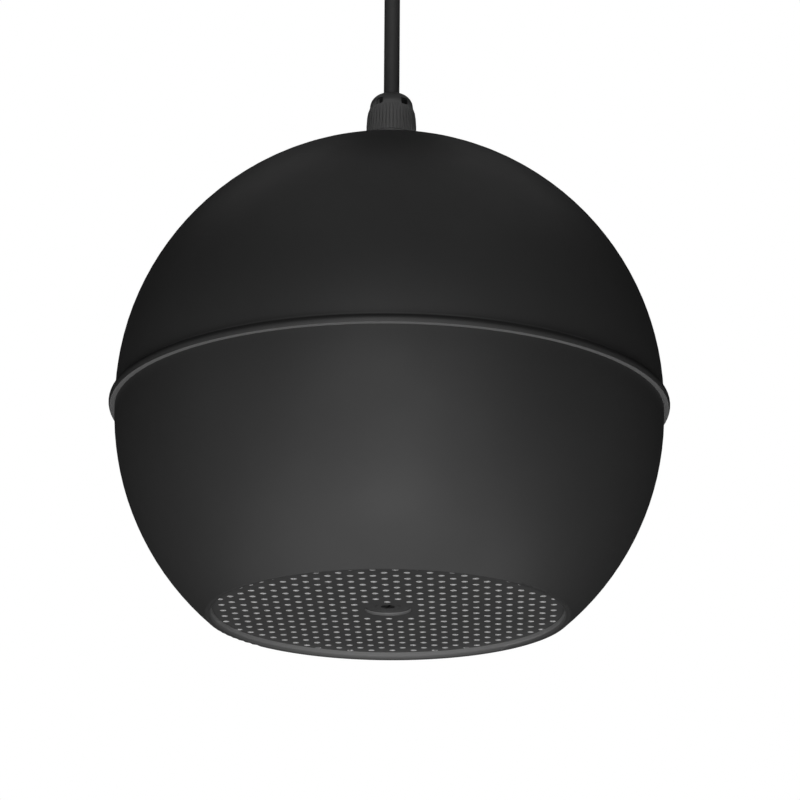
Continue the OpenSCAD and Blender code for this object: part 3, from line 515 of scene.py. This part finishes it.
materialValues = {
    "gland_nut": {"make": glandMaterial, "dark": grey(0.155), "light": grey(0.185),
                  "roughness": 0.45, "grain": 0.0005, "bump": 0.2, "patch": 0.01,
                  # painted shade on the crown
                  "crown": (0.1078, 0.1095), "crownShadeColour": grey(0.085),
                  # painted shade in the notches
                  "notches": 5.0, "notchTurn": 40.0, "notchHeights": (0.1078, 0.1096),
                  "notchWave": (0.6, 0.85), "notchSoft": (0.0003, 0.0003),
                  "notchShadeColour": grey(0.012)},
    "shell_black": {"make": shellMaterial, "dark": grey(0.030), "light": grey(0.034),
                    "roughness": 0.5, "roughSwing": 0.03, "grain": 0.0007, "bump": 0.2, "patch": 0.03,
                    "specular": 0.4,
                    # mouth wall and lip: paler finish, lifted further as painted light
                    "mouthWithin": 0.0570, "mouthSoft": 0.0006, "lipBelow": (-0.0600, -0.0605),
                    "mouthPaleAndLitColour": grey(0.10),
                    "wallPaleAndLitColour": grey(0.27), "roundTo": (-0.0681, -0.0675),
                    # painted highlight on the rim's foot
                    "footBeyond": 0.0899, "footSoft": 0.0001, "footHeights": (-0.00003, 0.00003),
                    "footHeightSoft": (0.00003, 0.00003), "footHighlightColour": grey(0.16),
                    # painted shadow along the top of the rim
                    "rimTopShade": (0.0010, 0.0023), "rimShadeEnd": (0.0029, 0.0028), "seamShadowColour": grey(0.006),
                    # painted highlight just over the rim
                    "edge": (0.0034, 0.0037), "edgeSoft": (0.0001, 0.0002), "edgeHighlightColour": grey(0.05)},
    "plastic_black": {"make": grainedMaterial, "dark": grey(0.155), "light": grey(0.185),
                      "roughness": 0.45, "grain": 0.0005, "bump": 0.2, "patch": 0.01},
    "nylon_white": {"make": grainedMaterial, "dark": (0.62, 0.61, 0.57), "light": (0.7, 0.69, 0.66),
                    "roughness": 0.45, "grain": 0.0006, "bump": 0.15, "patch": 0.008},
    "zinc_steel": {"make": grainedMaterial, "dark": (0.52, 0.52, 0.54), "light": (0.64, 0.64, 0.65),
                   "roughness": 0.32, "roughSwing": 0.08, "metallic": 1.0, "grain": 0.0004, "bump": 0.15,
                   "patch": 0.006},
    "lamination_steel": {"make": ringedMaterial, "dark": (0.08, 0.08, 0.09), "light": (0.18, 0.18, 0.19),
                         "roughness": 0.45, "metallic": 0.6, "pitch": 0.0005, "alongZ": 0.0},
    "tape_yellow": {"make": grainedMaterial, "dark": (0.6, 0.42, 0.05), "light": (0.68, 0.5, 0.08),
                    "roughness": 0.35, "grain": 0.001, "bump": 0.1, "patch": 0.01},
    "ceramic_white": {"make": grainedMaterial, "dark": (0.72, 0.71, 0.68), "light": (0.8, 0.79, 0.76),
                      "roughness": 0.6, "grain": 0.0005, "bump": 0.25, "patch": 0.005},
    "wire_red": {"make": grainedMaterial, "dark": (0.3, 0.012, 0.01), "light": (0.36, 0.02, 0.015),
                 "roughness": 0.4, "grain": 0.001, "bump": 0.08, "patch": 0.02},
    "wire_black": {"make": grainedMaterial, "dark": grey(0.015), "light": grey(0.02),
                   "roughness": 0.4, "grain": 0.001, "bump": 0.08, "patch": 0.02},
    "wadding_white": {"make": grainedMaterial, "dark": (0.55, 0.55, 0.53), "light": (0.8, 0.8, 0.78),
                      "roughness": 0.95, "grain": 0.003, "bump": 1.0, "patch": 0.004},
    "ferrite": {"make": grainedMaterial, "dark": (0.018, 0.018, 0.02), "light": (0.028, 0.028, 0.03),
                "roughness": 0.55, "grain": 0.0008, "bump": 0.3, "patch": 0.01},
    "frame_black": {"make": grainedMaterial, "dark": grey(0.015), "light": grey(0.022),
                    "roughness": 0.4, "grain": 0.0006, "bump": 0.2, "patch": 0.02},
    "rubber_black": {"make": grainedMaterial, "dark": grey(0.012), "light": grey(0.018),
                     "roughness": 0.7, "grain": 0.0005, "bump": 0.25, "patch": 0.01},
    "cord_black": {"make": grainedMaterial, "dark": grey(0.049), "light": grey(0.058),
                   "roughness": 0.5, "grain": 0.0004, "bump": 0.2, "patch": 0.008},
    "board_brown": {"make": grainedMaterial, "dark": (0.1, 0.04, 0.015), "light": (0.14, 0.06, 0.02),
                    "roughness": 0.5, "grain": 0.0006, "bump": 0.2, "patch": 0.004},
    "brass_lug": {"make": grainedMaterial, "dark": (0.6, 0.45, 0.18), "light": (0.72, 0.55, 0.24),
                  "roughness": 0.3, "metallic": 1.0, "grain": 0.0004, "bump": 0.15, "patch": 0.003},
    "spider_cloth": {"make": wovenMaterial, "dark": (0.32, 0.2, 0.06), "light": (0.55, 0.38, 0.14),
                     "roughness": 0.8, "thread": 0.0006, "bump": 0.5},
    "coil_copper": {"make": ringedMaterial, "dark": (0.25, 0.08, 0.03), "light": (0.6, 0.25, 0.1),
                    "roughness": 0.3, "metallic": 1.0, "pitch": 0.0003, "alongZ": 1.0},
    "former_brown": {"make": grainedMaterial, "dark": (0.2, 0.1, 0.04), "light": (0.26, 0.14, 0.06),
                     "roughness": 0.8, "grain": 0.0005, "bump": 0.2, "patch": 0.005},
    "paper_black": {"make": grainedMaterial, "dark": grey(0.012), "light": grey(0.02),
                    "roughness": 0.9, "grain": 0.0012, "bump": 0.5, "patch": 0.006},
    "cloth_black": {"make": wovenMaterial, "dark": grey(0.004), "light": grey(0.012),
                    "roughness": 0.95, "thread": 0.0005, "bump": 0.6, "sheen": 0.1},
    "grille_black": {"make": grilleMaterial, "dark": grey(0.040), "light": grey(0.046),
                     "roughness": 0.5, "grain": 0.0006, "bump": 0.2, "patch": 0.02, "specular": 0.4,
                     "bare": grey(0.92), "bareMetallic": 0.3, "bareRoughness": 0.4,
                     "dishWithin": 0.0081, "dishWallFrom": 0.00739, "dishWallSoft": 0.0001,
                     # the dish wall's paler grey is partly painted light
                     "radiusSoft": 0.0002, "wallPaleAndLitColour": grey(0.2),
                     "wallHeights": (-0.06645, -0.06555), "wallSoft": (0.00003, 0.00003),
                     # painted shade in the screw's recess
                     "recessWithin": 0.0022,
                     "recessShadeColour": grey(0.006)},
}

materials = {}
for slotName, slotValues in materialValues.items():
    materials[slotName] = slotValues["make"](slotName, slotValues)
for subpart in frame["record"]["subparts"]:
    node = nodes[subpart["node"]]
    node.data.materials.clear()
    node.data.materials.append(materials[subpart["material_slot"]])
# the gland's nut has its own version of the plastic
nodes["gland_nut"].data.materials[0] = materials["gland_nut"]
cord.data.materials.append(materials["cord_black"])
print("materials made:", len(materials))


# Floor, lamps and background
stageValues = {
    "floorDepth": 2.3,
    "floorSize": 6.0,
    "floorColour": (0.8, 0.8, 0.8),
    "floorGlow": 0.85,
    "surround": 0.01,
    "lamps": {
        # direction: degrees to the right of the front, and degrees above the rim
        "frontPanel": {"direction": (0.0, -2.5), "distance": 1.7, "size": (2.2, 1.05), "power": 8.4},
        "frontStrip": {"direction": (-1.0, -2.5), "distance": 1.68, "size": (0.5, 1.4), "power": 1.5},
        "lowPanel": {"direction": (0.0, -40.0), "distance": 1.7, "size": (2.6, 1.25), "power": 4.0},
        "smallLow": {"direction": (-3.0, -47.0), "distance": 1.7, "size": (0.7, 0.7), "power": 2.4},
        "leftPanel": {"direction": (-70.0, -12.0), "distance": 1.7, "size": (1.2, 1.9), "power": 1.2},
        "underPanel": {"direction": (0.0, -78.0), "distance": 1.43, "size": (3.0, 3.0), "power": 25.8},
        "topPanel": {"direction": (0.0, 94.0), "distance": 1.4, "size": (2.0, 2.0), "power": 3.0},
    },
}


def makeStage(values):
    deselectAll()
    depth = values["floorDepth"]
    bpy.ops.mesh.primitive_plane_add(size=values["floorSize"], location=(0.0, 0.0, -depth))
    floor = bpy.context.object
    floor.name = "paleFloor"
    material, tree, surface = newMaterial("paleFloor", {"roughness": 0.9})
    surface.inputs["Base Color"].default_value = (*values["floorColour"], 1.0)
    surface.inputs["Emission Color"].default_value = (1.0, 1.0, 1.0, 1.0)
    path = addNode(tree, "ShaderNodeLightPath")
    tree.links.new(spreadValue(tree, path.outputs["Is Camera Ray"], 0.0, values["floorGlow"], 0.0, 1.0),
                   surface.inputs["Emission Strength"])
    # clear from underneath, so that a view from below sees the object
    side = addNode(tree, "ShaderNodeNewGeometry")
    tree.links.new(spreadValue(tree, side.outputs["Backfacing"], 1.0, 0.0, 0.0, 1.0),
                   surface.inputs["Alpha"])
    floor.data.materials.append(material)


def makeLamps(values):
    target = Vector((0.0, 0.0, rimZ))
    for name, lamp in values["lamps"].items():
        data = bpy.data.lights.new(name, "AREA")
        data.shape = "RECTANGLE"
        data.size, data.size_y = lamp["size"]
        data.energy = lamp["power"]
        light = bpy.data.objects.new(name, data)
        scene.collection.objects.link(light)
        toRight, upward = (math.radians(angle) for angle in lamp["direction"])
        away = Vector((math.sin(toRight) * math.cos(upward), -math.cos(toRight) * math.cos(upward),
                       math.sin(upward)))
        light.location = target + lamp["distance"] * away
        light.rotation_euler = (-away).to_track_quat("-Z", "Y").to_euler()
        light.visible_camera = False


def makeBackground(values):
    # white where it is seen, dim where it lights the object
    world = bpy.data.worlds.new("studio")
    world.use_nodes = True
    scene.world = world
    tree = world.node_tree
    back = tree.nodes["Background"]
    path = addNode(tree, "ShaderNodeLightPath")
    mix = addNode(tree, "ShaderNodeMix", data_type="RGBA")
    level = values["surround"]
    mix.inputs["A"].default_value = (level, level, level, 1.0)
    mix.inputs["B"].default_value = (1.0, 1.0, 1.0, 1.0)
    tree.links.new(path.outputs["Is Camera Ray"], mix.inputs["Factor"])
    tree.links.new(mix.outputs["Result"], back.inputs["Color"])


makeStage(stageValues)
makeLamps(stageValues)
makeBackground(stageValues)
scene.view_settings.view_transform = "Standard"
print("stage and lamps made")
